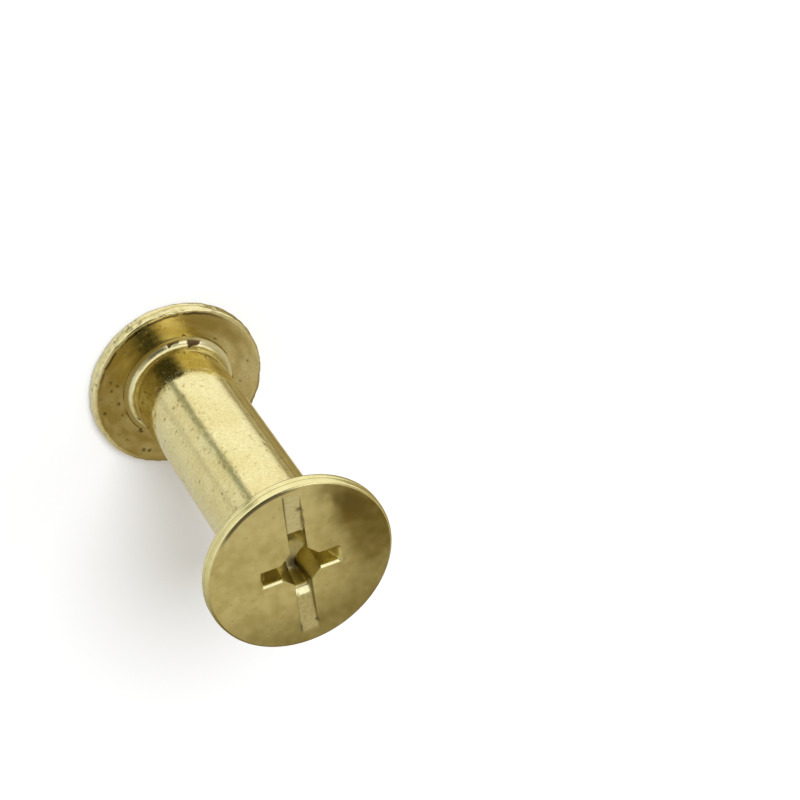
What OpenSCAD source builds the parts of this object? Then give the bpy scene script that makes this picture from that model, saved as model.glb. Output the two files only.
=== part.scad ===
// Two-piece screw post.
// A barrel with a flat head and a blind bore takes a short screw with the same flat head,
// so that sheets with a hole are clamped between the two heads.
// The post stands on the barrel's head, with its axis along +Z and the screw on top.

/* [Barrel] */
// Diameter of the barrel's flat head
barrel_head_d = 12; // [10:0.5:16]
// Thickness of the barrel's flat head
barrel_head_t = 1.1; // [1:0.1:2]
// Outside diameter of the barrel
barrel_d = 6.5; // [6.2:0.1:8]
// Clear length between the two heads
grip = 20; // [16:0.5:40]

/* [Root] */
// Radius of the hollow fillet between the head and the barrel
root_fillet = 0.55; // [0.3:0.05:0.8]

/* [Screw] */
// Diameter of the screw's flat head
screw_head_d = 12; // [10:0.5:16]
// Thickness of the screw's flat head
screw_head_t = 1.1; // [1:0.1:2]
// Outside diameter of the thread
thread_d = 5; // [4:0.1:5.2]
// Length of the threaded shank under the head
thread_l = 10; // [6:0.5:12]
// Chamfer at the tip of the thread
tip_chamfer = 0.6; // [0.2:0.1:1]

/* [Drive] */
// Width of the straight slot across the screw's head
slot_w = 1.1; // [0.8:0.05:1.6]
// Depth of the slot at the middle of the head, from where its floor rises in an arc
slot_depth = 0.4; // [0.2:0.05:0.7]
// Distance from the rim at which the slot runs out
slot_margin = 0.6; // [0.4:0.05:2]
// Width across the cross recess from wing tip to wing tip, at the face
cross_span = 5.2; // [4:0.1:6.5]
// Width of each wing of the cross recess
cross_w = 1.1; // [0.8:0.05:1.5]
// Width across the flats that cut the inner corners of the recess
cross_corner_w = 2.5; // [1.6:0.1:3]
// Slope of the wing tips from the axis
wing_angle = 26.5; // [20:0.5:32]
// Depth of the wings, down to the pointed floor
wing_depth = 2; // [1.2:0.1:2.4]
// Angle of the pointed floor
floor_angle = 140; // [120:1:160]

/* [Edges and fits] */
// Rounding of the rims of both heads
rim_round = 0.4; // [0.2:0.05:0.45]
// Radial clearance between the thread and the bore
thread_clearance = 0.05; // [0.01:0.01:0.1]
// Depth of the bore past the tip of the screw
bore_spare = 2; // [0.5:0.5:3]
// Angle of the drilled point at the bottom of the bore
drill_angle = 118; // [90:1:140]
// Countersink at the mouth of the bore
mouth_chamfer = 0.3; // [0.1:0.05:0.4]
// Chamfer on the outside of the barrel's open end
end_chamfer = 0.15; // [0.05:0.05:0.25]

/* [Hidden] */
$fn = 96;
// overshoot of the cuts past the faces they open
over = 1;
// levels along the axis
seat_z = barrel_head_t + grip;
top_z = seat_z + screw_head_t;
tip_z = seat_z - thread_l;
// radii
barrel_r = barrel_d / 2;
root_r = barrel_r + root_fillet;
thread_r = thread_d / 2;
bore_r = thread_r + thread_clearance;
// the bore and its drilled point
bore_depth = thread_l + bore_spare;
point_h = bore_r / tan(drill_angle / 2);
// the arc of the slot's floor
slot_half = screw_head_d / 2 - slot_margin;
slot_arc_r = (pow(slot_half, 2) + pow(slot_depth, 2)) / (2 * slot_depth);
// the floor of the cross recess
floor_r = cross_span / 2 - wing_depth * tan(wing_angle);
floor_h = floor_r / tan(floor_angle / 2);

// Half section of a disc with both rims rounded, standing on z = 0
module disc_section(d, t, r) {
    square([d / 2 - r, t]);
    translate([0, r]) square([d / 2, t - 2 * r]);
    for (z = [r, t - r]) translate([d / 2 - r, z]) circle(r);
}

// Half section of the hollow fillet that leads from the head to the barrel
module fillet_section() {
    difference() {
        translate([0, barrel_head_t / 2]) square([root_r, barrel_head_t / 2 + root_fillet]);
        translate([root_r, barrel_head_t + root_fillet]) circle(root_fillet);
    }
}

// Half section of the straight barrel with a chamfer at its open end
module shank_section(r, z0, z1, chamfer) {
    polygon([[0, z0], [r, z0], [r, z1 - chamfer], [r - chamfer, z1], [0, z1]]);
}

// Blind bore with a drilled point and a countersunk mouth, opening upwards at z
module blind_bore(z) {
    translate([0, 0, z - bore_depth]) {
        cylinder(r = bore_r, h = bore_depth + over);
        translate([0, 0, -point_h]) cylinder(r1 = 0, r2 = bore_r, h = point_h);
    }
    translate([0, 0, z - mouth_chamfer])
        cylinder(r1 = bore_r, r2 = bore_r + mouth_chamfer + over, h = mouth_chamfer + over);
}

// Bars of a cross, reaching down from z = 0 by the depth
module cross_bars(depth) {
    for (a = [0, 90]) rotate([0, 0, a])
        translate([-cross_span / 2, -cross_w / 2, -depth]) cube([cross_span, cross_w, depth + over]);
    rotate([0, 0, 45])
        translate([-cross_corner_w / 2, -cross_corner_w / 2, -depth])
            cube([cross_corner_w, cross_corner_w, depth + over]);
}

// Cross recess opening upwards at z = 0: wings whose tips slope in, over a pointed floor
module cross_recess() {
    intersection() {
        cross_bars(wing_depth + floor_h);
        union() {
            cylinder(d = cross_span, h = over);
            translate([0, 0, -wing_depth]) cylinder(r1 = floor_r, r2 = cross_span / 2, h = wing_depth);
            translate([0, 0, -wing_depth - floor_h]) cylinder(r1 = 0, r2 = floor_r, h = floor_h);
        }
    }
}

// Straight slot along X with an arc for its floor, opening upwards at z = 0
module straight_slot() {
    translate([0, slot_w / 2, slot_arc_r - slot_depth])
        rotate([90, 0, 0]) cylinder(r = slot_arc_r, h = slot_w);
}

module barrel() {
    color("goldenrod")
    difference() {
        rotate_extrude() {
            disc_section(barrel_head_d, barrel_head_t, rim_round);
            fillet_section();
            shank_section(barrel_r, barrel_head_t / 2, seat_z, end_chamfer);
        }
        blind_bore(seat_z);
    }
}

module screw() {
    color("darkkhaki")
    difference() {
        union() {
            translate([0, 0, seat_z]) rotate_extrude() disc_section(screw_head_d, screw_head_t, rim_round);
            translate([0, 0, tip_z]) cylinder(r1 = thread_r - tip_chamfer, r2 = thread_r, h = tip_chamfer);
            translate([0, 0, tip_z + tip_chamfer])
                cylinder(r = thread_r, h = thread_l - tip_chamfer + screw_head_t / 2);
        }
        translate([0, 0, top_z]) {
            straight_slot();
            cross_recess();
        }
    }
}

barrel();
screw();
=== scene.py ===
import math
import bpy
import numpy as np
from mathutils import Matrix, Vector
from types import SimpleNamespace


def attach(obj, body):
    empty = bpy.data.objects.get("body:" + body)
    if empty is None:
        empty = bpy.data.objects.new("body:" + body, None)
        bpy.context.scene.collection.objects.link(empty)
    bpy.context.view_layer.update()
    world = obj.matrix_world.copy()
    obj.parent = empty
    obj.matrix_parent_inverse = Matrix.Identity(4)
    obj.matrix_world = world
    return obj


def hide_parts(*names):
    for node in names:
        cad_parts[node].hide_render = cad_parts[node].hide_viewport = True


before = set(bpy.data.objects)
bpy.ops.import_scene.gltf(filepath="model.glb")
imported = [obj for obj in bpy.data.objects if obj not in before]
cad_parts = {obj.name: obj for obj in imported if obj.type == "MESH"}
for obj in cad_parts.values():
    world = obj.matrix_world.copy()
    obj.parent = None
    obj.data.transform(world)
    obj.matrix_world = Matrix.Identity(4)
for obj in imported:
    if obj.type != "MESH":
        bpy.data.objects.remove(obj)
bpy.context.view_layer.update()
mm = 0.001
fullTurn = 2.0 * np.pi
sharpDeg = 40.0    # an edge whose faces turn by more is sharp
print("frame loaded:", sorted(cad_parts))


# shared tools for grids and meshes

def smoothStep(low, high, value):
    # cubic ease from 0 at low to 1 at high; it falls where low is the greater
    t = np.clip((value - low) / (high - low), 0.0, 1.0)
    return t * t * (3.0 - 2.0 * t)


def between(ends, span, value):
    # from one end value to the other as value crosses the span, eased
    return ends[0] + (ends[1] - ends[0]) * smoothStep(*span, value)


def bell(value, width):
    # 1 at zero, falling on both sides: e to the power of minus the square of value / width
    return np.exp(-(value / width) ** 2)


def turnFrom(angle, start):
    # angle from a start, brought between minus half a turn and half a turn
    return (angle - start + np.pi) % fullTurn - np.pi


def onSide(angle, side):
    # 1 on one side of the axis, 0 on the other: the cosine from the side's direction, eased; a side is
    # its direction in degrees, and the cosines where a mark starts and is full
    degrees, low, high = side
    return smoothStep(low, high, np.cos(angle - math.radians(degrees)))


def valueNoise(x, y, seed, wrapX=0):
    # smooth noise: random values on whole numbers, eased between; wrapX repeats it in x
    size = 256
    table = np.random.default_rng(seed).uniform(-1.0, 1.0, (size, size))
    x0 = np.floor(x).astype(int)
    y0 = np.floor(y).astype(int)
    fx = smoothStep(0.0, 1.0, x - x0)
    fy = smoothStep(0.0, 1.0, y - y0)
    x1 = x0 + 1
    if wrapX:
        x0 = x0 % wrapX
        x1 = x1 % wrapX
    xa = x0 % size
    xb = x1 % size
    ya = y0 % size
    yb = (y0 + 1) % size
    low = table[xa, ya] * (1.0 - fx) + table[xb, ya] * fx
    high = table[xa, yb] * (1.0 - fx) + table[xb, yb] * fx
    return low * (1.0 - fy) + high * fy


def ringNoise(share, across, waves):
    # sum of noises that close round the axis, by the share of a turn and one more coordinate; a wave is
    # its size, its number round the axis, its rate across and its seed
    return sum(size * valueNoise(share * count, across * rate, seed, count)
               for size, count, rate, seed in waves)


def threadShare(z, angle, pitch):
    # height of a right-handed thread, from 0 at the root to 1 at the crest: an eased triangle wave of
    # z / pitch - angle / full turn
    phase = (z / pitch - angle / fullTurn) % 1.0
    rootFlat = 0.1
    return smoothStep(rootFlat, 1.0 - rootFlat, 1.0 - np.abs(2.0 * phase - 1.0))


def arcRows(centreR, centreZ, radius, startDeg, endDeg, count):
    # points of a circular arc in the (r, z) half plane, the start left out
    angle = np.radians(np.linspace(startDeg, endDeg, count + 1)[1:])
    return np.stack([centreR + radius * np.cos(angle), centreZ + radius * np.sin(angle)], axis=1)


def lineRows(start, end, count):
    # evenly spaced points of a straight line in the (r, z) half plane, the start left out
    t = np.linspace(0.0, 1.0, count + 1)[1:, None]
    return np.array(start) * (1.0 - t) + np.array(end) * t


def turnRows(parts, theta):
    # a half section of labelled stretches carried round the axis: radius, height and angle of each point,
    # and the label of each row
    rows = np.concatenate([stretch for _, stretch in parts])
    zone = np.concatenate([[label] * len(stretch) for label, stretch in parts])[:, None]
    r = np.repeat(rows[:, :1], len(theta), axis=1)
    z = np.repeat(rows[:, 1:], len(theta), axis=1)
    angle = np.repeat(theta[None, :], len(rows), axis=0)
    return r, z, angle, zone


def ringPoints(r, z, angle):
    # points in space of a grid given by radius, height and angle
    return np.stack([r * np.cos(angle), r * np.sin(angle), z], axis=-1).reshape(-1, 3)


def ringFaces(rows, columns):
    # quads between neighbouring rings of a surface of revolution, closed round the seam
    i = np.arange(rows - 1)[:, None] * columns
    j = np.arange(columns)[None, :]
    k = (j + 1) % columns
    return np.stack([i + j, i + k, i + columns + k, i + columns + j], axis=-1).reshape(-1, 4)


def fanFaces(ring, pole, flip):
    # triangles from one ring of vertices to a pole vertex
    after = np.roll(ring, -1)
    tip = np.full(len(ring), pole)
    order = [after, ring, tip] if flip else [ring, after, tip]
    return np.stack(order, axis=1)


def makePiece(name, points, quads, triangles, attributes, soft, material):
    # one mesh object from arrays in millimetres, with attributes on its vertices; smooth but for sharp
    # edges, and smooth there too where both ends are soft
    mesh = bpy.data.meshes.new(name)
    faces = quads.tolist() + triangles.tolist()
    mesh.from_pydata((points * mm).tolist(), [], faces)
    for label, values in attributes.items():
        layer = mesh.attributes.new(label, "FLOAT", "POINT")
        layer.data.foreach_set("value", np.asarray(values, dtype=np.float32))
    mesh.polygons.foreach_set("use_smooth", np.ones(len(faces), dtype=bool))
    mesh.set_sharp_from_angle(angle=math.radians(sharpDeg))
    ends = np.zeros(2 * len(mesh.edges), dtype=np.int32)
    mesh.edges.foreach_get("vertices", ends)
    sharp = np.zeros(len(mesh.edges), dtype=bool)
    mesh.edges.foreach_get("use_edge_sharp", sharp)
    sharp = sharp & ~(soft[ends[0::2]] & soft[ends[1::2]])
    mesh.edges.foreach_set("use_edge_sharp", sharp)
    mesh.validate()
    mesh.update()
    piece = bpy.data.objects.new(name, mesh)
    bpy.context.scene.collection.objects.link(piece)
    mesh.materials.append(material)
    print(name, "vertices", len(points), "faces", len(faces))
    return piece


# shared tools for node trees

def addNode(tree, kind, **values):
    # a new node with its settings
    node = tree.nodes.new(kind)
    for key, value in values.items():
        setattr(node, key, value)
    return node


def feed(tree, socket, value):
    # a tone or a number is set on the socket, and an output is linked to it
    if isinstance(value, tuple):
        socket.default_value = (*value, 1.0)
    elif isinstance(value, float):
        socket.default_value = value
    else:
        tree.links.new(value, socket)


def mixTones(tree, fac, first, second):
    # from the first tone to the second as fac goes from 0 to 1
    node = addNode(tree, "ShaderNodeMix", data_type="RGBA")
    tree.links.new(fac, node.inputs["Factor"])
    feed(tree, node.inputs["A"], first)
    feed(tree, node.inputs["B"], second)
    return node.outputs["Result"]


def ramp(tree, source, span, ends=(0.0, 1.0), kind="SMOOTHSTEP"):
    # a value carried from a span to two end values, eased between and held outside
    node = addNode(tree, "ShaderNodeMapRange", interpolation_type=kind)
    node.inputs["From Min"].default_value = span[0]
    node.inputs["From Max"].default_value = span[1]
    node.inputs["To Min"].default_value = ends[0]
    node.inputs["To Max"].default_value = ends[1]
    tree.links.new(source, node.inputs["Value"])
    return node.outputs["Result"]


def combine(tree, operation, first, second):
    # sum, product or another operation on two values
    node = addNode(tree, "ShaderNodeMath", operation=operation)
    feed(tree, node.inputs[0], first)
    feed(tree, node.inputs[1], second)
    return node.outputs["Value"]


# plated brass of both pieces

plating = dict(
    # detail and roughness of each noise
    mottleNoise=(3.0, 0.5), speckNoise=(2.0, 0.6), dustNoise=(3.0, 0.65), fleckNoise=(3.0, 0.6),
    waverNoise=(2.0, 0.5), fineNoise=(4.0, 0.5), grainNoise=(3.0, 0.6),
    # values of a noise between which its mark comes up
    mottleSpan=(0.35, 0.68), speckSpan=0.08, dustSpan=(0.36, 0.64), fleckSpan=(0.38, 0.58),
    waverSpan=(0.3, 0.7), fineSpan=(0.3, 0.7),
    # ragged outline of the pits, so many times finer than they are, and the softness of their edge
    waverRate=7.0, waverReach=0.06, pitEdge=0.03,
    # uneven polish, so many times finer than the mottle, and how much duller the specks are
    fineRate=6.0, fineDull=(-0.03, 0.04), speckDull=0.2,
    # ruggedness from which the relief is full, and the share of it that calm metal keeps
    fullRugged=0.2, calmRelief=0.05,
)


def brassMaterial(name, brass):
    # mottled brass under dust; tarnish, pale bare metal, painted highlights, pits, dark grime and painted
    # shade follow the mesh's attributes
    look = SimpleNamespace(**brass)
    plate = SimpleNamespace(**plating)
    material = bpy.data.materials.new(name)
    material.use_nodes = True
    tree = material.node_tree
    tree.nodes.clear()
    out = addNode(tree, "ShaderNodeOutputMaterial")
    shader = addNode(tree, "ShaderNodeBsdfPrincipled")
    tree.links.new(shader.outputs["BSDF"], out.inputs["Surface"])
    shader.inputs["Metallic"].default_value = 1.0
    where = addNode(tree, "ShaderNodeTexCoord").outputs["Object"]

    def attribute(label):
        return addNode(tree, "ShaderNodeAttribute", attribute_name=label).outputs["Fac"]

    def noise(scale, texture):
        node = addNode(tree, "ShaderNodeTexNoise")
        node.inputs["Scale"].default_value = scale
        node.inputs["Detail"].default_value = texture[0]
        node.inputs["Roughness"].default_value = texture[1]
        tree.links.new(where, node.inputs["Vector"])
        return node.outputs["Fac"]

    def cells(scale):
        node = addNode(tree, "ShaderNodeTexVoronoi")
        node.inputs["Scale"].default_value = scale
        tree.links.new(where, node.inputs["Vector"])
        return node.outputs["Distance"]

    def times(first, second):
        return combine(tree, "MULTIPLY", first, second)

    def plus(first, second):
        return combine(tree, "ADD", first, second)

    # marks
    mottle = ramp(tree, noise(look.mottleScale, plate.mottleNoise), plate.mottleSpan)
    dust = ramp(tree, noise(look.dustScale, plate.dustNoise), plate.dustSpan, (0.0, look.dustShare))
    fleckEnds = (1.0 - look.fleckShare, 1.0)
    flecks = ramp(tree, noise(look.fleckScale, plate.fleckNoise), plate.fleckSpan, fleckEnds)
    speckSpan = (look.speckLevel, look.speckLevel + plate.speckSpan)
    specks = ramp(tree, noise(look.speckScale, plate.speckNoise), speckSpan)
    rugged = attribute("rugged")
    waver = noise(look.pitScale * plate.waverRate, plate.waverNoise)
    waver = ramp(tree, waver, plate.waverSpan, (-plate.waverReach, plate.waverReach))
    pitSpan = (look.pitReach - plate.pitEdge, look.pitReach + plate.pitEdge)
    pits = ramp(tree, plus(cells(look.pitScale), waver), pitSpan, (1.0, 0.0))
    pits = times(pits, rugged)

    # colour
    tone = mixTones(tree, mottle, look.bright, look.deep)
    tone = mixTones(tree, dust, tone, look.speckTone)
    # tarnish tone, also used for painted shade and a painted dark reflection
    tone = mixTones(tree, attribute("tarnishAndShade"), tone, look.tarnishTone)
    # pale tone, also used for painted highlights
    tone = mixTones(tree, times(attribute("pale"), flecks), tone, look.paleTone)
    tone = mixTones(tree, times(specks, look.speckShare), tone, look.speckTone)
    tone = mixTones(tree, times(pits, look.pitShare), tone, look.speckTone)
    # grime tone, also used for painted shade and painted dark reflections
    tone = mixTones(tree, attribute("grimeAndShade"), tone, look.grimeTone)
    tree.links.new(tone, shader.inputs["Base Color"])

    # polish
    fine = noise(look.mottleScale * plate.fineRate, plate.fineNoise)
    fine = ramp(tree, fine, plate.fineSpan, plate.fineDull)
    rough = ramp(tree, attribute("satin"), (0.0, 1.0), (look.polished, look.satin))
    rough = plus(plus(rough, fine), ramp(tree, specks, (0.0, 1.0), (0.0, plate.speckDull)))
    tree.links.new(rough, shader.inputs["Roughness"])

    # relief
    hollows = plus(specks, times(pits, look.pitRelief))
    grain = combine(tree, "SUBTRACT", noise(look.grainScale, plate.grainNoise), hollows)
    grain = times(grain, ramp(tree, rugged, (0.0, plate.fullRugged), (plate.calmRelief, 1.0)))
    bump = addNode(tree, "ShaderNodeBump")
    bump.inputs["Strength"].default_value = look.bumpStrength
    bump.inputs["Distance"].default_value = look.bumpDepth * mm
    tree.links.new(grain, bump.inputs["Height"])
    tree.links.new(bump.outputs["Normal"], shader.inputs["Normal"])
    return material


# barrel: flat head, root fillet, straight barrel and blind tapped bore

barrelSet = dict(
    # sizes
    headR=6.0, headT=1.1, rimRound=0.4, rimEdge=0.18, rimDraft=0.03,
    barrelR=3.25, length=21.1, rootFillet=0.55, endChamfer=0.15,
    boreR=2.55, boreDepth=12.0, drillDeg=118.0, mouth=0.3,
    threadCrestR=2.13, pitch=0.8, threadTop=0.7, threadFoot=1.2, boreTarnish=0.5,
    # grid: columns round the axis, and bands of close rows inside the rim's edges and at the fillet
    columns=320, faceBand=0.5, innerBand=(0.10, 0.24), grooveBand=0.12, seed=11,
    # hammered rim, blended into the inner face between two radii
    rimWaves=[(0.025, 26, 3.0, 3), (0.025, 90, 6.0, 4)], rimInset=0.05, rimBlend=(5.35, 5.72),
    rimSatin=0.25, rimPale=0.3,
    # nicks in the rim: heights, sizes, depths as shares of the size, and dirt in the deep ones
    nicks=170, nickLow=0.35, nickOver=0.05, nickSize=(0.08, 0.26), nickDepth=(0.1, 0.32),
    nickSharp=1.6, nickDeep=0.035, nickGrime=0.28,
    # painted shadow line at the inner edge of the rim, painted dark band along its middle, darker at its
    # foot, painted shade on one side
    edgeWaves=[(1.0, 70, 0.0, 12), (0.6, 160, 0.0, 13)],
    browSide=(195.0, 0.40, 0.85), browR=5.65, browWidth=0.11, browWaver=0.03,
    browReach=0.06, browGaps=(-1.7, -0.5),
    midSide=(150.0, 0.1, 0.7), midZ=0.64, midWidth=0.07, midWaver=0.04, midTarnish=0.75,
    footSpan=(0.42, 0.10), footGrime=0.40,
    dullSide=(15.0, 0.1, 0.8), dullTarnish=0.8, dullGrime=0.25,
    # inner face: turning rings as height, rate and start, and clouds of tarnish with painted shade that leans
    # to one side and gathers in a lobe
    rings=[(0.004, 42.0, 0.0), (0.003, 71.0, 1.0)], ringFade=(5.7, 5.5), innerSatin=0.4,
    cloudLevel=0.66, cloudWaves=[(0.20, 9, 1.2, 8), (0.20, 40, 3.0, 9)],
    lean=0.28, leanDeg=268.0, lobe=0.45, lobeDeg=147.0, lobeWidth=0.40,
    # pits on the inner face: angle in degrees, radius and size
    pits=[(245, 4.9, 0.10), (248, 4.4, 0.09), (253, 4.7, 0.08), (272, 5.25, 0.11), (267, 4.2, 0.10),
          (280, 4.2, 0.11), (304, 5.0, 0.08), (322, 5.15, 0.14), (327, 5.1, 0.14), (308, 3.95, 0.17),
          (133, 4.1, 0.09), (75, 4.4, 0.07), (93, 5.0, 0.08), (166, 3.95, 0.07), (20, 4.6, 0.10)],
    pitWaves=[(0.5, 180, 12.0, 14)], pitDepth=0.06, pitGrime=0.85,
    # broken groove round the fillet's foot, darkened along its line
    grooveWaves=[(1.0, 24, 0.0, 15)], grooveGaps=(-0.25, 0.35), grooveOut=0.05,
    grooveWidth=0.03, grooveDepth=0.03, grooveGrime=0.6,
    # chips in the fillet: start and end angle in degrees, and their heights above the head
    chips=[(171, 186, 0.02, 0.18), (146, 163, 0.02, 0.42), (291, 297, 0.10, 0.28)],
    chipWaves=[(0.02, 120, 8.0, 16)], chipRise=(0.15, 0.85), chipEnd=0.1,
    chipFoot=(-0.01, 0.02), chipTop=(0.02, -0.02), chipDepth=0.05,
    # fillet: pale worn band, brown line at its foot on one side
    filletWaves=[(0.012, 60, 3.0, 5)], filletSettle=(0.0, 0.15),
    wornSpan=(0.42, 0.20), wornPale=0.9, wornSatin=0.55, leastSatin=0.4,
    brownSide=(240.0, -0.2, 0.4), brownSpan=(0.11, 0.05), brownTarnish=0.85,
    # barrel: slow unevenness, a satin foot, and dings of which the small ones are deeper and stained
    slowWaves=[(0.004, 14, 0.35, 6), (0.0025, 34, 1.6, 7)], slowFrom=1.2, satinUpTo=1.6,
    dings=260, dingLow=2.4, dingTop=0.4, dingSize=(0.06, 0.22), smallDing=0.13,
    smallDepth=0.014, largeDepth=0.010, dingTarnish=0.55,
    # pitted more on one side, calm at the barrel's foot and towards the fillet
    ruggedSide=(258.0, 0.3, 0.9), ruggedLeast=0.2, ruggedGain=0.8,
    calmFoot=(2.3, 3.8), calmInner=(4.1, 5.3),
    # marks at the middle of the outer face and at the point of the bore
    poles=dict(grimeAndShade=[0.0, 0.3], tarnishAndShade=[0.0, 0.5], pale=[0.0, 0.0], satin=[0.0, 0.0],
               rugged=[0.3, 0.3]),
    # tones, scales and shares of its brass
    brass=dict(
        bright=(0.95, 0.856, 0.452), deep=(0.885, 0.77, 0.367),
        tarnishTone=(0.40, 0.30, 0.08), paleTone=(0.93, 0.88, 0.56),
        speckTone=(0.30, 0.23, 0.09), grimeTone=(0.10, 0.06, 0.025),
        mottleScale=420.0, fleckScale=3000.0, fleckShare=0.5,
        dustScale=5600.0, dustShare=0.22,
        speckScale=3600.0, speckLevel=0.645, speckShare=0.4,
        pitScale=1250.0, pitReach=0.15, pitShare=0.62, pitRelief=5.0,
        polished=0.11, satin=0.34,
        grainScale=2600.0, bumpStrength=0.15, bumpDepth=0.04,
    ),
)


def barrelGrid(s):
    # half section from the middle of the outer face, round the rim, up the barrel and down into the bore,
    # carried once round the axis, with no marks on it yet
    headR = s.headR
    headT = s.headT
    length = s.length
    rimIn = headR - s.rimRound
    bandIn = rimIn - s.faceBand
    edgeIn = headR - s.rimEdge
    edgeZ = headT - s.rimEdge
    draft = s.rimDraft
    bandStart = edgeIn - s.innerBand[0]
    bandEnd = edgeIn - s.innerBand[1]
    rootR = s.barrelR + s.rootFillet
    rootZ = headT + s.rootFillet
    grooveR = rootR + s.grooveBand
    endZ = length - s.endChamfer
    endR = s.barrelR - s.endChamfer
    boreEnd = length - s.boreDepth
    mouthR = s.boreR + s.mouth
    mouthZ = length - s.mouth
    g = SimpleNamespace()
    g.pointZ = boreEnd - s.boreR / math.tan(math.radians(s.drillDeg / 2.0))
    parts = [
        ("face", lineRows((0.0, 0.0), (bandIn, 0.0), 2)),
        ("face", lineRows((bandIn, 0.0), (rimIn, 0.0), 3)),
        ("rim", arcRows(rimIn, s.rimRound, s.rimRound, -90.0, 0.0, 8)),
        ("rim", lineRows((headR, s.rimRound), (headR - draft, edgeZ), 6)),
        ("rim", arcRows(edgeIn - draft, edgeZ, s.rimEdge, 0.0, 90.0, 10)),
        ("inner", lineRows((bandStart, headT), (bandEnd, headT), 4)),
        ("inner", lineRows((bandEnd, headT), (grooveR, headT), 22)),
        ("groove", lineRows((grooveR, headT), (rootR, headT), 5)),
        ("fillet", arcRows(rootR, rootZ, s.rootFillet, -90.0, -180.0, 14)),
        ("shank", lineRows((s.barrelR, rootZ), (s.barrelR, endZ), 104)),
        ("end", lineRows((s.barrelR, endZ), (endR, length), 3)),
        ("end", lineRows((endR, length), (mouthR, length), 3)),
        ("bore", lineRows((mouthR, length), (s.boreR, mouthZ), 4)),
        ("bore", lineRows((s.boreR, mouthZ), (s.boreR, boreEnd), 116)),
        ("point", lineRows((s.boreR, boreEnd), (0.0, g.pointZ), 6)[:-1]),
    ]
    theta = np.arange(s.columns) * fullTurn / s.columns
    g.r, g.z, g.angle, zone = turnRows(parts, theta)
    g.plainR = g.r
    g.share = g.angle / fullTurn
    for label in ("rim", "groove", "fillet", "shank", "bore"):
        setattr(g, label, zone == label)
    g.inner = (zone == "inner") | g.groove
    for label in ("grimeAndShade", "tarnishAndShade", "pale", "satin", "rugged"):
        setattr(g, label, np.zeros_like(g.r))
    return g


def hammerRim(g, s, rng):
    # hammered rim: the radius wanders by noise, and nicks are pressed in, each a bell round its place
    rimShare = np.where(g.rim, 1.0, g.inner * smoothStep(*s.rimBlend, g.r))
    g.r = g.r + (ringNoise(g.share, g.z, s.rimWaves) - s.rimInset) * rimShare
    g.satin = np.where(g.rim, s.rimSatin, g.satin)
    g.pale = np.where(g.rim, s.rimPale, g.pale)
    nickAngle = rng.uniform(0.0, fullTurn, s.nicks)
    nickZ = rng.uniform(s.nickLow, s.headT + s.nickOver, s.nicks)
    nickSize = rng.uniform(*s.nickSize, s.nicks)
    nickDepth = nickSize * rng.uniform(*s.nickDepth, s.nicks)
    for a, h, size, depth in zip(nickAngle, nickZ, nickSize, nickDepth):
        near = ((turnFrom(g.angle, a) * s.headR) ** 2 + (g.z - h) ** 2) / size ** 2
        press = np.exp(-near * s.nickSharp) * rimShare
        g.r = g.r - depth * press
        g.grimeAndShade = np.maximum(g.grimeAndShade, s.nickGrime * press * g.rim * (depth > s.nickDeep))


def markRim(g, s):
    # lines round the rim, a painted shadow line and a painted dark band: bells across it, uneven by noise and
    # eased to nothing away from their side; darker at its foot, and painted shade on one side
    uneven = ringNoise(g.share, g.r, s.edgeWaves)
    # painted shadow line at the inner edge of the rim, on one side
    shadowLine = bell(g.plainR - s.browR + s.browWaver * uneven, s.browWidth)
    shadowLine = shadowLine * (g.z > s.headT - s.browReach) * onSide(g.angle, s.browSide)
    g.grimeAndShade = np.maximum(g.grimeAndShade, shadowLine * smoothStep(*s.browGaps, uneven))
    # darker towards the rim's foot
    g.grimeAndShade = np.maximum(g.grimeAndShade, s.footGrime * smoothStep(*s.footSpan, g.z) * g.rim)
    # painted dark band along the rim's middle, on one side
    midShadeLine = bell(g.z - s.midZ - s.midWaver * uneven, s.midWidth) * g.rim
    midShadeLine = midShadeLine * onSide(g.angle, s.midSide)
    g.tarnishAndShade = np.maximum(g.tarnishAndShade, s.midTarnish * midShadeLine)
    # painted shade on one side of the rim: browner, darker and less pale
    shadedRim = onSide(g.angle, s.dullSide) * g.rim
    g.tarnishAndShade = np.maximum(g.tarnishAndShade, s.dullTarnish * shadedRim)
    g.grimeAndShade = np.maximum(g.grimeAndShade, s.dullGrime * shadedRim)
    g.pale = g.pale * (1.0 - midShadeLine) * (1.0 - shadedRim)


def wearInnerFace(g, s):
    # inner face of the head: turning rings as sines of the radius, clouds of tarnish with painted shade to
    # one side and in a lobe, and ragged pits
    rings = sum(height * np.sin(g.r * rate + start) for height, rate, start in s.rings)
    g.z = g.z + np.where(g.inner, rings * smoothStep(*s.ringFade, g.r), 0.0)
    g.satin = np.where(g.inner, s.innerSatin, g.satin)
    cloud = s.cloudLevel + ringNoise(g.share, g.r, s.cloudWaves)
    # painted shade: darker to one side and in a lobe
    cloud = cloud + s.lean * np.cos(g.angle - math.radians(s.leanDeg))
    cloud = cloud + s.lobe * bell(turnFrom(g.angle, math.radians(s.lobeDeg)), s.lobeWidth)
    g.tarnishAndShade = np.where(g.inner, np.clip(cloud, 0.0, 1.0), g.tarnishAndShade)
    ragged = 1.0 + ringNoise(g.share, g.r, s.pitWaves)
    for degrees, radius, size in s.pits:
        away = turnFrom(g.angle, math.radians(degrees)) * radius
        near = (away ** 2 + (g.r - radius) ** 2) / (size * ragged) ** 2
        press = np.exp(-near ** 2) * g.inner
        g.z = g.z - s.pitDepth * press
        g.grimeAndShade = np.maximum(g.grimeAndShade, s.pitGrime * press)


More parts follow.
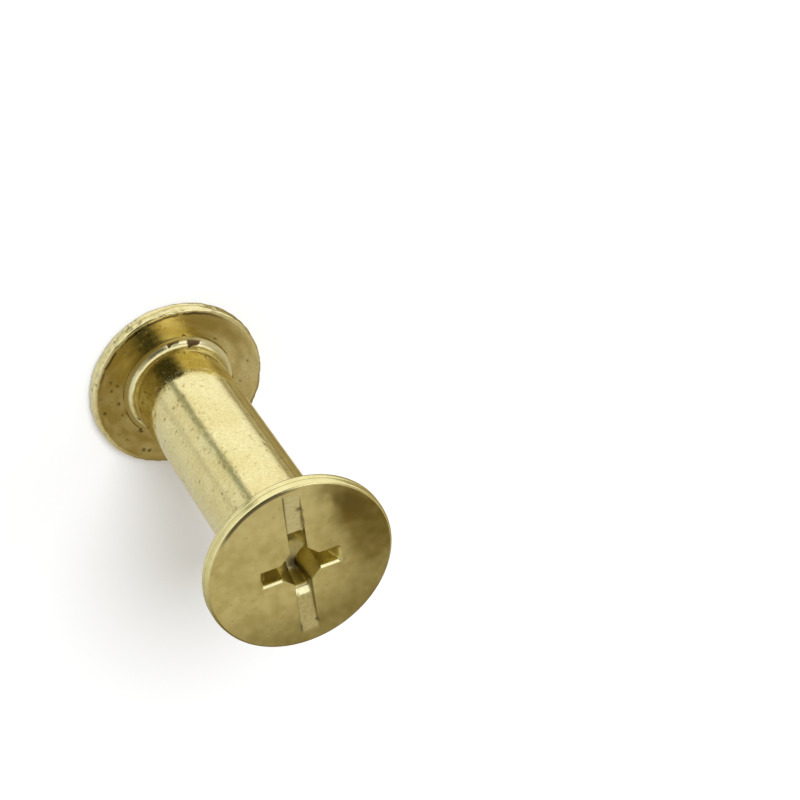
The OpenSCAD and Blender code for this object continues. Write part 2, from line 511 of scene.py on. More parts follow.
def wearFillet(g, s):
    # a darkened groove round the fillet's foot, broken by noise; chips whose upper edge rises from end to
    # end; a pale worn band over a brown line
    rootR = s.barrelR + s.rootFillet
    broken = smoothStep(*s.grooveGaps, ringNoise(g.share, g.r, s.grooveWaves))
    dip = bell(g.r - rootR - s.grooveOut, s.grooveWidth) * broken
    g.z = g.z - np.where(g.groove, s.grooveDepth * dip, 0.0)
    # darker along the groove
    g.grimeAndShade = np.where(g.groove, np.maximum(g.grimeAndShade, s.grooveGrime * dip), g.grimeAndShade)
    above = g.z - s.headT
    ragged = ringNoise(g.share, above, s.chipWaves)
    riseLow, riseGain = s.chipRise
    for start, end, low, high in s.chips:
        along = np.degrees(turnFrom(g.angle, math.radians(start))) / (end - start)
        top = low + (high - low) * (riseLow + riseGain * np.clip(along, 0.0, 1.0))
        press = smoothStep(0.0, s.chipEnd, along) * smoothStep(1.0, 1.0 - s.chipEnd, along)
        press = press * smoothStep(*s.chipFoot, above - low)
        press = press * smoothStep(*s.chipTop, above + ragged - top) * g.fillet
        g.r = g.r - s.chipDepth * press
        g.grimeAndShade = np.maximum(g.grimeAndShade, press)
    wobble = ringNoise(g.share, above, s.filletWaves) * smoothStep(*s.filletSettle, above)
    g.r = g.r + np.where(g.fillet, wobble, 0.0)
    worn = smoothStep(*s.wornSpan, above)
    # darker brown at the fillet's foot on one side
    brown = smoothStep(*s.brownSpan, above) * onSide(g.angle, s.brownSide)
    g.pale = np.where(g.fillet, s.wornPale * worn * (1.0 - brown), g.pale)
    g.tarnishAndShade = np.where(g.fillet, s.brownTarnish * brown, g.tarnishAndShade)
    g.satin = np.where(g.fillet, np.maximum(s.wornSatin * worn, s.leastSatin), g.satin)


def wearShank(g, s, rng):
    # barrel: a slow unevenness by noise, and shallow dings, each a bell round its place
    rootZ = s.headT + s.rootFillet
    settle = smoothStep(rootZ, s.headT + s.slowFrom, g.z)
    g.r = g.r + np.where(g.shank, ringNoise(g.share, g.z, s.slowWaves) * settle, 0.0)
    footSatin = s.leastSatin * smoothStep(s.headT + s.satinUpTo, rootZ, g.z)
    g.satin = np.where(g.shank, footSatin, g.satin)
    dingAngle = rng.uniform(0.0, fullTurn, s.dings)
    dingZ = rng.uniform(s.dingLow, s.length - s.dingTop, s.dings)
    dingSize = rng.uniform(*s.dingSize, s.dings)
    for a, h, size in zip(dingAngle, dingZ, dingSize):
        near = ((turnFrom(g.angle, a) * s.barrelR) ** 2 + (g.z - h) ** 2) / size ** 2
        press = np.exp(-near) * g.shank
        small = size < s.smallDing
        g.r = g.r - (s.smallDepth if small else s.largeDepth) * press
        g.tarnishAndShade = np.maximum(g.tarnishAndShade, s.dingTarnish * press * small)


def roughen(g, s):
    # ruggedness that the material reads: more on one side, none on the fillet
    rugged = s.ruggedLeast + s.ruggedGain * onSide(g.angle, s.ruggedSide)
    calm = smoothStep(*s.calmFoot, g.z - s.headT)
    rugged = np.where(g.fillet, 0.0, np.where(g.shank, rugged * calm, rugged))
    g.rugged = np.where(g.inner, rugged * smoothStep(*s.calmInner, g.plainR), rugged)


def tapBore(g, s):
    # the thread stands in from the wall of the bore, and fades out at the mouth and at the bottom
    boreEnd = s.length - s.boreDepth
    fade = smoothStep(s.length, s.length - s.threadTop, g.z)
    fade = fade * smoothStep(boreEnd, boreEnd + s.threadFoot, g.z)
    ridge = (1.0 - threadShare(g.z, g.angle, s.pitch)) * (s.boreR - s.threadCrestR) * fade
    g.r = g.r - np.where(g.bore, ridge, 0.0)
    g.tarnishAndShade = np.where(g.bore, s.boreTarnish, g.tarnishAndShade)
    g.soft = g.bore & (fade > 0.0)


def makeBarrel(s):
    # the worn grid, closed by a fan at the middle of the outer face and one at the point of the bore
    g = barrelGrid(s)
    rng = np.random.default_rng(s.seed)
    hammerRim(g, s, rng)
    markRim(g, s)
    wearInnerFace(g, s)
    wearFillet(g, s)
    wearShank(g, s, rng)
    roughen(g, s)
    tapBore(g, s)
    rows, columns = g.r.shape
    bottom = rows * columns
    points = np.concatenate([ringPoints(g.r, g.z, g.angle), [[0.0, 0.0, 0.0], [0.0, 0.0, g.pointZ]]])
    first = np.arange(columns)
    last = bottom - columns + first
    triangles = np.concatenate([fanFaces(first, bottom, True), fanFaces(last, bottom + 1, False)])
    attributes = {label: np.append(getattr(g, label), ends) for label, ends in s.poles.items()}
    soft = np.append(g.soft, [False, False])
    piece = makePiece("barrelBody", points, ringFaces(rows, columns), triangles, attributes, soft,
                      brassMaterial("barrelBrass", s.brass))
    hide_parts("barrel")
    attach(piece, "barrel")


makeBarrel(SimpleNamespace(**barrelSet))


# screw: flat head with slot and cross recess, banded rim and threaded shank

screwSet = dict(
    # sizes of the head and of the thread
    headR=6.0, headT=1.1, seatZ=21.1, rimTop=0.19, rimEdge=0.15,
    threadR=2.5, rootR=2.06, threadL=10.0, pitch=0.8, tipChamfer=0.6,
    threadTop=(-0.1, -1.0), threadFoot=(-0.1, 0.8), neckOut=0.1, neckIn=0.05, neckL=0.15,
    # drive: slot with an arc for its floor, and cross recess
    slotW=1.1, slotDepth=0.4, slotHalf=5.4, slotShift=-0.2,
    crossSpan=5.2, crossW=1.1, cornerW=2.5, wingDeg=26.5, wingDepth=2.0, floorDeg=140.0,
    lip=0.05, wallSlope=9.0,
    # grid of the face: close lines at a wall and at the border, how far from them the even stretches keep,
    # the stops of those stretches, and where the grid starts to turn round
    wallLines=[-0.06, -0.03, -0.01, 0.01, 0.025, 0.05], borderLines=[0.17, 0.08, 0.0],
    floorClear=0.12, wallClear=0.09, borderClear=0.27, stops=(1.45, 1.53, 2.75, 2.88), roundFrom=0.5,
    # rim in two bands with a crease between, by distances in from the head's radius and down from its top
    bandR=0.745, bandIn=0.75, bandDown=0.36, bandDeg=(14.0, -4.0),
    creaseIn=0.045, creaseDown=0.47, creaseEdgeIn=0.006, creaseEdges=(0.42, 0.53),
    lowBandR=0.45, lowBandUp=0.42, lowBandDeg=(12.0, -70.0), underIn=0.30,
    # where a point counts as in the recess and on the slot's floor
    recessSpan=(0.03, 0.12), slotSpan=(0.6, 0.95), slotEndSpan=(0.0, 0.04), leastArc=0.01,
    # worn facet at the tip of the lower wing, down to a steep drop
    facetDepth=0.30, facetSlope=0.66, facetEnd=2.45, dropSlope=6.0, dropX=1.94,
    facetStart=1.2, facetHalf=0.56,
    # worn edge along one side of the two side wings
    wear=0.16, wearSlope=0.66, wearFrom=0.3, wearInner=(1.15, 1.25), wearOuter=(2.62, 2.5),
    # bare metal with a painted highlight line along the worn edge, and polished there
    wearBare=(0.02, 0.2), wearBareX=(0.50, 0.53), wearPolish=0.6,
    # nicks along the slot: place and half sizes
    nicks=[(-4.05, 0.46, 0.14, 0.20), (-3.3, 0.58, 0.30, 0.06), (4.75, -0.50, 0.30, 0.07),
           (4.45, 0.54, 0.10, 0.14), (-4.2, -0.25, 0.05, 0.10)],
    nickDepth=0.08, nickGrime=0.75,
    # clouds of tarnish on the face as size, rate and seed, and blotches that show in its upper part
    cloudLevel=0.08, clouds=[(0.08, 0.9, 21), (0.07, 2.6, 22)], cloudMost=0.95,
    blotch=(1.0, 1.8, 23), blotchShare=(0.25, 1.0), blotchSpan=(-0.5, -3.2),
    # painted dark reflection: a brown patch off to one side of a line, given by a point and the direction
    # across it
    patchAt=(-4.7, 1.7), patchAcross=(-0.322, 0.947), patchSpan=(-0.45, 0.85),
    patchWaver=0.3, patchFade=(4.2, -1.0), patchTarnish=0.42, patchBlotch=0.12,
    # dirty streak near the border
    streakDeg=135.0, streakTurn=0.36, streakR=5.1, streakWaver=0.25, streakWidth=0.62,
    streakTarnish=0.36, streakGrime=0.30,
    # slow darkening over the face towards one side and the bottom, lighter at the top, and painted shade down
    # in the recess and on the upper wing
    sideTarnish=0.36, sideSpan=(0.0, 4.5), sideFade=(5.5, 1.5),
    lowTarnish=0.56, lowSpan=(1.2, 5.2), topBright=0.12, topSpan=(-2.0, -4.5),
    recessTarnish=(0.05, 0.30), recessDeep=(1.6, 2.0), wingTarnish=0.58, wingSpan=(-1.5, -1.75),
    # floor of the slot: bare metal, duller in its lower half
    slotLow=(0.0, 3.0), slotBare=(1.0, 0.5), slotTarnish=(0.06, 0.36), slotSatin=0.8,
    # painted light: the recess paler, and rougher there
    recessBare=0.2, recessSatin=0.7,
    # paler at the top of the face, and bare metal with a painted highlight on the facet
    topBare=0.3, topBareX=(-2.0, -4.8), topBareY=(2.6, 0.6),
    tipX=(1.88, 1.96), tipY=(0.55, 0.4), tipBare=1.6, tipPolish=0.4,
    # painted shade in the corners of the slot, along its hidden wall and in the middle of the recess
    cornerIn=0.01, cornerWidth=0.035, cornerArc=(0.02, 0.2), cornerGrime=0.6,
    hiddenIn=0.06, hiddenWidth=0.055, hiddenArc=(0.0, 0.05), hiddenX=(1.0, -1.0),
    hiddenGrime=0.85,
    middleAt=(1.35, 0.15), middleHalf=(0.52, 0.42), middlePower=1.5, middleGrime=0.88,
    # painted dark reflection as a line at the border of the face on one side, and on the rim beside it
    borderSide=(204.0, 0.84, 0.97), borderSpan=(0.12, 0.05), borderGrime=0.95,
    rimSpan=(-0.07, -0.02), rimGrime=0.8,
    # rim: polished with a painted highlight towards the lit side and dull with painted shade on the other,
    # painted shade in the crease and at its foot on one side
    brightDeg=172.0, paleSpan=(0.25, 0.75), rimPale=0.55, dullSpan=(0.65, 0.20),
    rimTarnish=0.85, satinSpan=(0.3, 0.8), rimSatin=(0.75, 0.15), shankSatin=0.1,
    creaseWidth=0.035, creaseTarnish=0.5,
    footSide=(188.0, 0.5, 0.9), footSpan=(0.27, 0.17), footTarnish=0.7,
    # tones, scales and shares of its brass
    brass=dict(
        bright=(0.88, 0.79, 0.37), deep=(0.77, 0.67, 0.28),
        tarnishTone=(0.21, 0.147, 0.022), paleTone=(0.90, 0.84, 0.49),
        speckTone=(0.36, 0.27, 0.10), grimeTone=(0.075, 0.058, 0.04),
        mottleScale=1300.0, fleckScale=5200.0, fleckShare=0.65,
        dustScale=5600.0, dustShare=0.05,
        speckScale=2600.0, speckLevel=0.71, speckShare=0.4,
        pitScale=1500.0, pitReach=0.12, pitShare=0.2, pitRelief=1.0,
        polished=0.15, satin=0.36,
        grainScale=2200.0, bumpStrength=0.2, bumpDepth=0.04,
    ),
)


def faceLines(s):
    # grid lines across the head as shares of its flat, close together at the walls of the slot
    half = s.slotW / 2.0
    edge = s.headR - s.rimTop
    side = np.concatenate([
        np.linspace(0.0, half - s.floorClear, 6),
        half + np.array(s.wallLines),
        np.linspace(half + s.wallClear, s.stops[0], 19),
        np.linspace(s.stops[1], s.stops[2], 14),
        np.linspace(s.stops[3], edge - s.borderClear, 14),
        edge - np.array(s.borderLines),
    ])
    return np.concatenate([-side[:0:-1], side]) / edge


def lipDepth(inside, s):
    # depth of a wall by the distance inside its outline: a rounded lip, then a steep straight wall
    lip = s.lip
    turn = np.clip(inside / lip + 1.0, 0.0, 1.0)
    return lip * (1.0 - np.sqrt(1.0 - turn * turn)) + s.wallSlope * np.maximum(inside, 0.0)


def driveDepth(x, y, s):
    # depth of the drive below the face: the deeper of the slot and of the recess; the slot's floor is an arc,
    # and the recess is a cross of bars cut off by sloping tips and a pointed floor
    ax = np.abs(x)
    ay = np.abs(y)
    arcR = (s.slotHalf ** 2 + s.slotDepth ** 2) / (2.0 * s.slotDepth)
    arc = np.maximum(s.slotDepth - (x - s.slotShift) ** 2 / (2.0 * arcR), 0.0)
    slot = np.minimum(lipDepth(s.slotW / 2.0 - ay, s), arc)
    half = s.crossW / 2.0
    corner = s.cornerW / 2.0 - (ax + ay) / math.sqrt(2.0)
    outline = np.maximum(np.maximum(half - ay, half - ax), corner)
    radius = np.hypot(x, y)
    span = s.crossSpan / 2.0
    slope = math.tan(math.radians(s.wingDeg))
    floorR = span - s.wingDepth * slope
    tips = (span - radius) / slope
    point = s.wingDepth + (floorR - radius) / math.tan(math.radians(s.floorDeg / 2.0))
    recess = np.minimum(lipDepth(outline, s), np.maximum(np.minimum(tips, point), 0.0))
    return np.maximum(slot, recess), recess, slot, arc


def faceGrid(s):
    # square to disc: a point of the grid keeps its place near the middle and goes out to the circle at the
    # border; with the depth of the drive and the shares of face, slot floor and recess
    lines = faceLines(s)
    u, v = np.meshgrid(lines, lines, indexing="ij")
    reach = np.maximum(np.abs(u), np.abs(v))
    length = np.maximum(np.hypot(u, v), 1e-9)
    share = smoothStep(s.roundFrom, 1.0, reach)
    factor = (1.0 - share) + share * reach / length
    f = SimpleNamespace()
    f.edge = s.headR - s.rimTop
    f.x = u * factor * f.edge
    f.y = v * factor * f.edge
    f.radius = np.hypot(f.x, f.y)
    f.angle = np.arctan2(f.y, f.x)
    f.depth, f.recess, slot, f.arc = driveDepth(f.x, f.y, s)
    f.inRecess = smoothStep(*s.recessSpan, f.recess - slot)
    f.onSlot = smoothStep(*s.slotSpan, slot / np.maximum(f.arc, s.leastArc))
    f.onSlot = f.onSlot * smoothStep(*s.slotEndSpan, f.arc) * (1.0 - f.inRecess)
    f.onFace = (1.0 - f.onSlot) * (1.0 - f.inRecess)
    return f


def wearDrive(f, s):
    # depths: a facet and then a drop at the lower wing's tip, worn slopes beside the side wings, and nicks
    side = np.abs(f.y)
    facet = s.facetDepth + s.facetSlope * np.maximum(s.facetEnd - f.x, 0.0)
    facet = facet + s.dropSlope * np.maximum(s.dropX - f.x, 0.0)
    atTip = (f.x > s.facetStart) & (side < s.facetHalf)
    f.depth = np.where(atTip, np.minimum(f.depth, facet), f.depth)
    worn = np.clip((s.crossW / 2.0 + s.wear - f.x) / s.wear, 0.0, 1.0) * (f.x > s.wearFrom)
    f.worn = worn * smoothStep(*s.wearInner, side) * smoothStep(*s.wearOuter, side)
    f.depth = np.maximum(f.depth, s.wearSlope * s.wear * f.worn)
    f.nicked = np.zeros_like(f.x)
    for placeX, placeY, sizeX, sizeY in s.nicks:
        press = np.exp(-(((f.x - placeX) / sizeX) ** 2 + ((f.y - placeY) / sizeY) ** 2) ** 2)
        f.depth = f.depth + s.nickDepth * press
        f.nicked = np.maximum(f.nicked, press)


def tarnishAndShadeFace(f, s):
    # tarnish and painted shade: clouds of noise, a painted dark reflection as a brown patch beside a line, a
    # streak near the border, and slow changes over the face and the slot, with painted shade in the recess
    def cloudNoise(size, rate, seed):
        shift = 40.0    # keeps the noise's coordinates above zero
        return size * valueNoise(f.x * rate + shift, f.y * rate + shift, seed)

    blotch = cloudNoise(*s.blotch) * between(s.blotchShare, s.blotchSpan, f.x)
    acrossX, acrossY = s.patchAcross
    across = acrossX * (f.x - s.patchAt[0]) + acrossY * (f.y - s.patchAt[1])
    # painted dark reflection: a brown patch beside the line
    mirroredPatch = smoothStep(*s.patchSpan, across + s.patchWaver * blotch) * smoothStep(*s.patchFade, f.x)
    f.streak = bell(turnFrom(f.angle, math.radians(s.streakDeg)), s.streakTurn)
    f.streak = f.streak * bell(f.radius - s.streakR + s.streakWaver * blotch, s.streakWidth)
    cloud = s.cloudLevel + sum(cloudNoise(*wave) for wave in s.clouds)
    cloud = cloud + mirroredPatch * (s.patchTarnish + s.patchBlotch * blotch) + s.streakTarnish * f.streak
    # darker towards one side and the bottom, lighter at the top
    cloud = cloud + s.sideTarnish * smoothStep(*s.sideSpan, f.y) * smoothStep(*s.sideFade, f.x)
    cloud = cloud + s.lowTarnish * smoothStep(*s.lowSpan, f.x)
    cloud = cloud - s.topBright * smoothStep(*s.topSpan, f.x)
    # painted shade deep in the recess and on the upper wing
    inRecess = between(s.recessTarnish, s.recessDeep, f.recess)
    inRecess = inRecess + s.wingTarnish * smoothStep(*s.wingSpan, f.x)
    onSlot = between(s.slotTarnish, s.slotLow, f.x)
    f.tarnishAndShade = f.onFace * np.clip(cloud, 0.0, s.cloudMost) + onSlot * f.onSlot + inRecess * f.inRecess


def paleAndLitFace(f, s):
    # bare metal on the slot's floor; painted light in the recess; paler at the top of the face; bare metal
    # with a painted highlight on the facet and along the worn edges; and how satin the face is
    f.pale = f.onSlot * between(s.slotBare, s.slotLow, f.x) + s.recessBare * f.inRecess
    # paler towards the top of the face
    topBare = smoothStep(*s.topBareX, f.x) * smoothStep(*s.topBareY, f.y)
    f.pale = np.maximum(f.pale, s.topBare * f.onFace * topBare)
    # bare metal with a painted highlight on the facet
    tip = smoothStep(*s.tipX, f.x) * f.inRecess * smoothStep(*s.tipY, np.abs(f.y))
    f.pale = np.maximum(f.pale, s.tipBare * tip)
    # painted highlight line along the worn edges
    edge = smoothStep(*s.wearBare, f.worn) * smoothStep(*s.wearBareX, f.x)
    f.pale = np.maximum(f.pale, edge)
    f.tarnishAndShade = f.tarnishAndShade * (1.0 - edge)
    f.satin = f.onFace + s.slotSatin * f.onSlot + s.recessSatin * f.inRecess
    f.satin = f.satin * (1.0 - s.tipPolish * tip) * (1.0 - s.wearPolish * edge)


def dirtAndShadeFace(f, s):
    # dirt and painted shade, the strongest of: painted shade as bells along the slot's corners and its hidden
    # wall and as a spot in the recess, the streak, a painted dark reflection as a tapering line at the
    # border, and dirt in the nicks
    half = s.slotW / 2.0
    # painted shade along the slot's corners
    corner = bell(np.abs(f.y) - half + s.cornerIn, s.cornerWidth) * smoothStep(*s.cornerArc, f.arc)
    # painted shade along the hidden wall of the slot
    hiddenWallShade = bell(f.y + half - s.hiddenIn, s.hiddenWidth) * smoothStep(*s.hiddenArc, f.arc)
    hiddenWallShade = hiddenWallShade * smoothStep(*s.hiddenX, f.x)
    slot = np.maximum(s.cornerGrime * corner, s.hiddenGrime * hiddenWallShade) * (1.0 - f.inRecess)
    # painted shade as a spot in the middle of the recess
    awayX = (f.x - s.middleAt[0]) / s.middleHalf[0]
    awayY = (f.y - s.middleAt[1]) / s.middleHalf[1]
    recessSpotShade = np.exp(-(awayX ** 2 + awayY ** 2) ** s.middlePower) * f.inRecess
    # painted dark reflection as a tapering line at the border of the face
    border = onSide(f.angle, s.borderSide) * smoothStep(*s.borderSpan, f.edge - f.radius)
    f.grimeAndShade = np.maximum.reduce([slot, s.middleGrime * recessSpotShade, s.streakGrime * f.streak * f.onFace,
                                 s.borderGrime * border, s.nickGrime * f.nicked])


def screwTurned(s, theta):
    # half section from the border of the face over the banded rim, under the head and down the thread to the
    # tip, carried once round the axis; the thread's groove is deepest where the thread's share is 0
    headR = s.headR
    under = s.seatZ
    top = under + s.headT
    tipZ = under - s.threadL
    edgeTop, edgeLow = s.creaseEdges
    crease = (headR - s.creaseIn, top - s.creaseDown)
    neck = (s.threadR + s.neckOut, under)
    threadTop = (s.threadR - s.neckIn, under - s.neckL)
    threadEnd = (s.threadR, tipZ + s.tipChamfer)
    tip = (s.threadR - s.tipChamfer, tipZ)
    parts = [
        ("rim", arcRows(headR - s.rimTop, top - s.rimEdge, s.rimEdge, 90.0, s.bandDeg[0], 9)),
        ("rim", arcRows(headR - s.bandIn, top - s.bandDown, s.bandR, *s.bandDeg, 5)),
        ("rim", lineRows((headR - s.creaseEdgeIn, top - edgeTop), crease, 2)),
        ("rim", lineRows(crease, (headR - s.creaseEdgeIn, top - edgeLow), 2)),
        ("rim", arcRows(headR - s.lowBandR, under + s.lowBandUp, s.lowBandR, *s.lowBandDeg, 8)),
        ("under", lineRows((headR - s.underIn, under), neck, 5)),
        ("under", lineRows(neck, threadTop, 2)),
        ("thread", lineRows(threadTop, threadEnd, 112)),
        ("thread", lineRows(threadEnd, tip, 5)),
        ("thread", lineRows(tip, (0.0, tipZ), 4)[:-1]),
    ]
    g = SimpleNamespace()
    g.r, g.z, g.angle, zone = turnRows(parts, theta)
    g.rim = zone == "rim"
    thread = zone == "thread"
    fade = smoothStep(*s.threadTop, g.z - under) * smoothStep(*s.threadFoot, g.z - tipZ)
    groove = (1.0 - threadShare(g.z, g.angle, s.pitch)) * (s.threadR - s.rootR) * fade
    g.r = np.where(thread, np.minimum(g.r, s.threadR - groove), g.r)
    g.soft = thread & (fade > 0.0)
    return g


def markScrewRim(g, s):
    # rim: a painted highlight and polish by the share of the lit side, painted shade on the other; painted
    # shade as a bell in the crease, painted shade at the foot on one side, and a painted dark reflection
    # beside the dark line of the face
    top = s.seatZ + s.headT
    bright = 0.5 + 0.5 * np.cos(g.angle - math.radians(s.brightDeg))
    # painted shade in the rim's crease
    crease = bell(g.z - top + s.creaseDown, s.creaseWidth) * g.rim
    # painted shade at the rim's foot on one side
    shadedFoot = smoothStep(*s.footSpan, g.z - s.seatZ) * onSide(g.angle, s.footSide)
    # painted highlight towards the lit side, painted shade on the other
    g.pale = np.where(g.rim, s.rimPale * smoothStep(*s.paleSpan, bright), 0.0)
    g.pale = g.pale * (1.0 - crease) * (1.0 - shadedFoot)
    g.tarnishAndShade = np.where(g.rim, s.rimTarnish * smoothStep(*s.dullSpan, bright), 0.0)
    g.tarnishAndShade = np.maximum(g.tarnishAndShade, s.creaseTarnish * crease)
    g.tarnishAndShade = np.maximum(g.tarnishAndShade, s.footTarnish * shadedFoot * g.rim)
    # painted dark reflection on the rim beside the face's border line
    g.grimeAndShade = s.rimGrime * onSide(g.angle, s.borderSide) * smoothStep(*s.rimSpan, g.z - top)
    g.satin = np.where(g.rim, between(s.rimSatin, s.satinSpan, bright), s.shankSatin)


def makeScrew(s):
    # the face grid, a ring of quads from its border to the turned grid, and a fan at the tip
    f = faceGrid(s)
    wearDrive(f, s)
    tarnishAndShadeFace(f, s)
    paleAndLitFace(f, s)
    dirtAndShadeFace(f, s)
    n = len(f.x)
    facePoints = np.stack([f.x, f.y, s.seatZ + s.headT - f.depth], axis=-1).reshape(-1, 3)
    i, j = np.meshgrid(np.arange(n - 1), np.arange(n - 1), indexing="ij")
    corner = (i * n + j).reshape(-1)
    faceQuads = np.stack([corner, corner + n, corner + n + 1, corner + 1], axis=-1)

    # border of the face grid, once round from the corner, anticlockwise seen from above
    a = np.arange(n - 1)
    border = np.concatenate([a * n, (n - 1) * n + a, (n - 1 - a) * n + n - 1, n - 1 - a])
    theta = np.arctan2(facePoints[border, 1], facePoints[border, 0])
    g = screwTurned(s, theta)
    markScrewRim(g, s)
    rows, columns = g.r.shape
    base = len(facePoints)
    ring = base + np.arange(columns)
    join = np.stack([border, ring, np.roll(ring, -1), np.roll(border, -1)], axis=1)
    quads = np.concatenate([faceQuads, join, ringFaces(rows, columns)[:, ::-1] + base])
    tipPoint = [[0.0, 0.0, s.seatZ - s.threadL]]
    points = np.concatenate([facePoints, ringPoints(g.r, g.z, g.angle), tipPoint])
    triangles = fanFaces(ring + (rows - 1) * columns, len(points) - 1, True)
    tipMarks = {"grimeAndShade": 0.0, "tarnishAndShade": 0.0, "pale": 0.0, "satin": s.shankSatin}
    attributes = {}
    for label, tipMark in tipMarks.items():
        attributes[label] = np.concatenate([getattr(f, label).ravel(), getattr(g, label).ravel(), [tipMark]])
    attributes["rugged"] = np.ones(len(points))
    soft = np.concatenate([np.zeros(base, dtype=bool), g.soft.ravel(), [False]])
    piece = makePiece("screwBody", points, quads, triangles, attributes, soft,
                      brassMaterial("screwBrass", s.brass))
    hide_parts("screw")
    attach(piece, "screw")


makeScrew(SimpleNamespace(**screwSet))


# camera at the photograph's viewing angle

cameraSetup = dict(
    place=(-84.513, -29.529, 116.996),
    forward=(0.5936, 0.2921, -0.7498),
    up=(-0.8, 0.3146, -0.5109),
    lens=98.36,
    sensor=36.0,
    clip=(0.005, 10.0),
)


def makeCamera(s):
    # axes of the camera from its forward and up directions, square to each other
    data = bpy.data.cameras.new("camera")
    camera = bpy.data.objects.new("camera", data)
    bpy.context.scene.collection.objects.link(camera)
    back = -Vector(s.forward).normalized()
    right = Vector(s.up).cross(back).normalized()
    up = back.cross(right)
    turn = Matrix((right, up, back)).transposed().to_4x4()
    camera.matrix_world = Matrix.Translation(Vector(s.place) * mm) @ turn
    data.sensor_width = s.sensor
    data.lens = s.lens
    data.clip_start, data.clip_end = s.clip
    bpy.context.scene.camera = camera
    print("camera set, lens", s.lens)


makeCamera(SimpleNamespace(**cameraSetup))


# stage: pale floor, soft room and one soft lamp

stageSetup = dict(
    # floor, a little below the head that stands on it
    floorSize=4.0, floorDrop=0.00002, floorTone=(0.80, 0.79, 0.765), floorRough=0.9,
    floorGlow=0.08,
    # directions of the room: to the camera, level towards it and across, and where the face mirrors it
    cameraSide=(-0.610, -0.215, 0.763),
    cameraAround=(-0.8973, -0.4415, 0.0),
    acrossAround=(0.4415, -0.8973, 0.0),
    faceSide=(0.5936, 0.2921, 0.7498),
    # upper room, with a paler left and a tone of its own for the face
    upperTone=(0.40, 0.37, 0.29),
    leftTone=(0.68, 0.68, 0.68), leftSpan=(0.38, 0.60),
    faceTone=(0.55, 0.50, 0.40), faceSpan=(0.55, 0.90),
    # heights at which the low room gives way to the skirt, and the skirt to the upper room
    skirtSpan=(-0.50, -0.25), upperSpan=(0.15, 0.50),
    # soft bright patch, and the dark round the camera, with their inner and outer angles
    softSide=(-0.395, 0.451, 0.80), softTone=(1.32, 1.34, 1.42), softDeg=(14.0, 27.0),
    darkTone=(0.048, 0.060, 0.058), darkDeg=(10.0, 25.0),
    # tone of the room near the horizon, by the angle round from the camera's side, in degrees
    skirtTones=[
        (-180, (0.36, 0.31, 0.18)), (-150, (0.32, 0.26, 0.12)), (-125, (0.50, 0.44, 0.28)),
        (-104, (1.10, 1.09, 1.04)), (-60, (1.12, 1.12, 1.08)), (0, (1.05, 1.05, 1.02)),
        (60, (0.92, 0.91, 0.84)), (95, (0.66, 0.61, 0.45)), (125, (0.52, 0.47, 0.32)),
        (180, (0.36, 0.31, 0.18)),
    ],
    # tone of the low room by the angle round from the camera's side, in degrees
    lowTones=[
        (-180, (0.44, 0.36, 0.18)), (-172, (0.70, 0.62, 0.36)), (-164, (0.38, 0.30, 0.14)),
        (-148, (0.30, 0.24, 0.10)), (-134, (0.42, 0.35, 0.18)), (-124, (0.28, 0.23, 0.11)),
        (-117, (0.56, 0.51, 0.36)), (-111, (0.33, 0.29, 0.18)), (-105, (0.50, 0.47, 0.36)),
        (-98, (0.92, 0.91, 0.87)), (-88, (1.03, 1.03, 1.00)), (-40, (1.06, 1.06, 1.04)),
        (-9, (1.03, 1.03, 1.01)), (-3, (0.56, 0.57, 0.52)), (0, (0.36, 0.38, 0.33)),
        (5, (0.36, 0.38, 0.33)), (9, (0.56, 0.57, 0.52)), (15, (0.78, 0.78, 0.74)),
        (36, (0.80, 0.80, 0.76)), (43, (0.64, 0.64, 0.60)), (49, (0.64, 0.64, 0.60)),
        (58, (0.74, 0.74, 0.70)), (85, (0.68, 0.68, 0.64)), (120, (0.62, 0.62, 0.57)),
        (150, (0.58, 0.54, 0.42)), (180, (0.44, 0.36, 0.18)),
    ],
    # lamp
    keySide=(-0.615, 0.022, 0.788), keyDistance=0.3, keySpread=28.0, keyPower=3.0,
    keyTone=(0.83, 0.88, 1.0),
)


def makeFloor(s):
    # one square, lit up a little for the camera alone, so that it meets the white of the room
    half = s.floorSize / 2.0
    mesh = bpy.data.meshes.new("floor")
    corners = [(-half, -half, 0.0), (half, -half, 0.0), (half, half, 0.0), (-half, half, 0.0)]
    mesh.from_pydata(corners, [], [(0, 1, 2, 3)])
    floor = bpy.data.objects.new("floor", mesh)
    floor.location.z = -s.floorDrop
    bpy.context.scene.collection.objects.link(floor)
    material = bpy.data.materials.new("floorPale")
    material.use_nodes = True
    tree = material.node_tree
    shader = tree.nodes["Principled BSDF"]
    shader.inputs["Base Color"].default_value = (*s.floorTone, 1.0)
    shader.inputs["Roughness"].default_value = s.floorRough
    shader.inputs["Specular IOR Level"].default_value = 0.0
    shader.inputs["Emission Color"].default_value = (1.0, 1.0, 1.0, 1.0)
    path = addNode(tree, "ShaderNodeLightPath")
    glow = combine(tree, "MULTIPLY", path.outputs["Is Camera Ray"], s.floorGlow)
    tree.links.new(glow, shader.inputs["Emission Strength"])
    mesh.materials.append(material)
    floor.visible_glossy = False


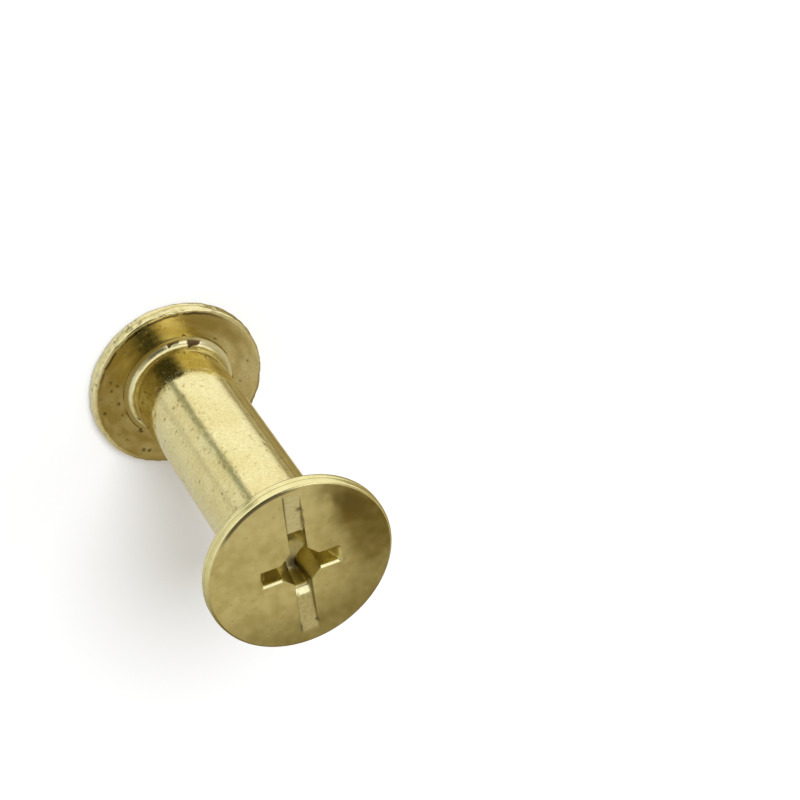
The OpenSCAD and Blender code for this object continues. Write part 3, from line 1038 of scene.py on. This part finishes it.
def makeWorld(s):
    # soft room: bands of tone round the horizon below, one warm tone above, dark where the camera stands
    world = bpy.data.worlds.new("room")
    bpy.context.scene.world = world
    world.use_nodes = True
    tree = world.node_tree
    tree.nodes.clear()
    out = addNode(tree, "ShaderNodeOutputWorld")
    sky = addNode(tree, "ShaderNodeBackground")
    tree.links.new(sky.outputs["Background"], out.inputs["Surface"])
    where = addNode(tree, "ShaderNodeTexCoord").outputs["Generated"]

    def along(direction):
        # cosine of the angle from a direction
        node = addNode(tree, "ShaderNodeVectorMath", operation="DOT_PRODUCT")
        node.inputs[1].default_value = direction
        tree.links.new(where, node.inputs[0])
        return node.outputs["Value"]

    def disc(side, degrees):
        # 1 inside a round patch of the room, 0 outside it
        inner, outer = degrees
        return ramp(tree, along(side), (math.cos(math.radians(outer)), math.cos(math.radians(inner))))

    around = combine(tree, "ARCTAN2", along(s.acrossAround), along(s.cameraAround))
    spread = ramp(tree, around, (-math.pi, math.pi), kind="LINEAR")

    def bandTones(tones):
        # tones by the angle round the room
        node = addNode(tree, "ShaderNodeValToRGB")
        stops = node.color_ramp.elements
        for index, (degrees, tone) in enumerate(tones):
            place = (degrees + 180.0) / 360.0
            stop = stops[index] if index < 2 else stops.new(place)
            stop.position = place
            stop.color = (*tone, 1.0)
        tree.links.new(spread, node.inputs["Fac"])
        return node.outputs["Color"]

    height = along((0.0, 0.0, 1.0))
    upper = mixTones(tree, ramp(tree, along(s.acrossAround), s.leftSpan), s.upperTone, s.leftTone)
    upper = mixTones(tree, ramp(tree, along(s.faceSide), s.faceSpan), upper, s.faceTone)
    lowTone = bandTones(s.lowTones)
    skirtTone = bandTones(s.skirtTones)
    tone = mixTones(tree, ramp(tree, height, s.skirtSpan), lowTone, skirtTone)
    tone = mixTones(tree, ramp(tree, height, s.upperSpan), tone, upper)
    tone = mixTones(tree, disc(s.softSide, s.softDeg), tone, s.softTone)
    tone = mixTones(tree, disc(s.cameraSide, s.darkDeg), tone, s.darkTone)
    path = addNode(tree, "ShaderNodeLightPath")
    tone = mixTones(tree, path.outputs["Is Camera Ray"], tone, (1.0, 1.0, 1.0))
    tree.links.new(tone, sky.inputs["Color"])
    sky.inputs["Strength"].default_value = 1.0


def makeLamp(s):
    # broad sun that only lays the shadow on the floor; the metal shows the room alone
    data = bpy.data.lights.new("keyLamp", "SUN")
    data.energy = s.keyPower
    data.color = s.keyTone
    data.angle = math.radians(s.keySpread)
    lamp = bpy.data.objects.new("keyLamp", data)
    bpy.context.scene.collection.objects.link(lamp)
    lamp.location = Vector(s.keySide) * s.keyDistance
    lamp.rotation_mode = "QUATERNION"
    lamp.rotation_quaternion = Vector(s.keySide).to_track_quat("Z", "Y")
    lamp.visible_glossy = False


stage = SimpleNamespace(**stageSetup)
makeFloor(stage)
makeWorld(stage)
makeLamp(stage)
bpy.context.scene.view_settings.view_transform = "Standard"
print("stage ready")
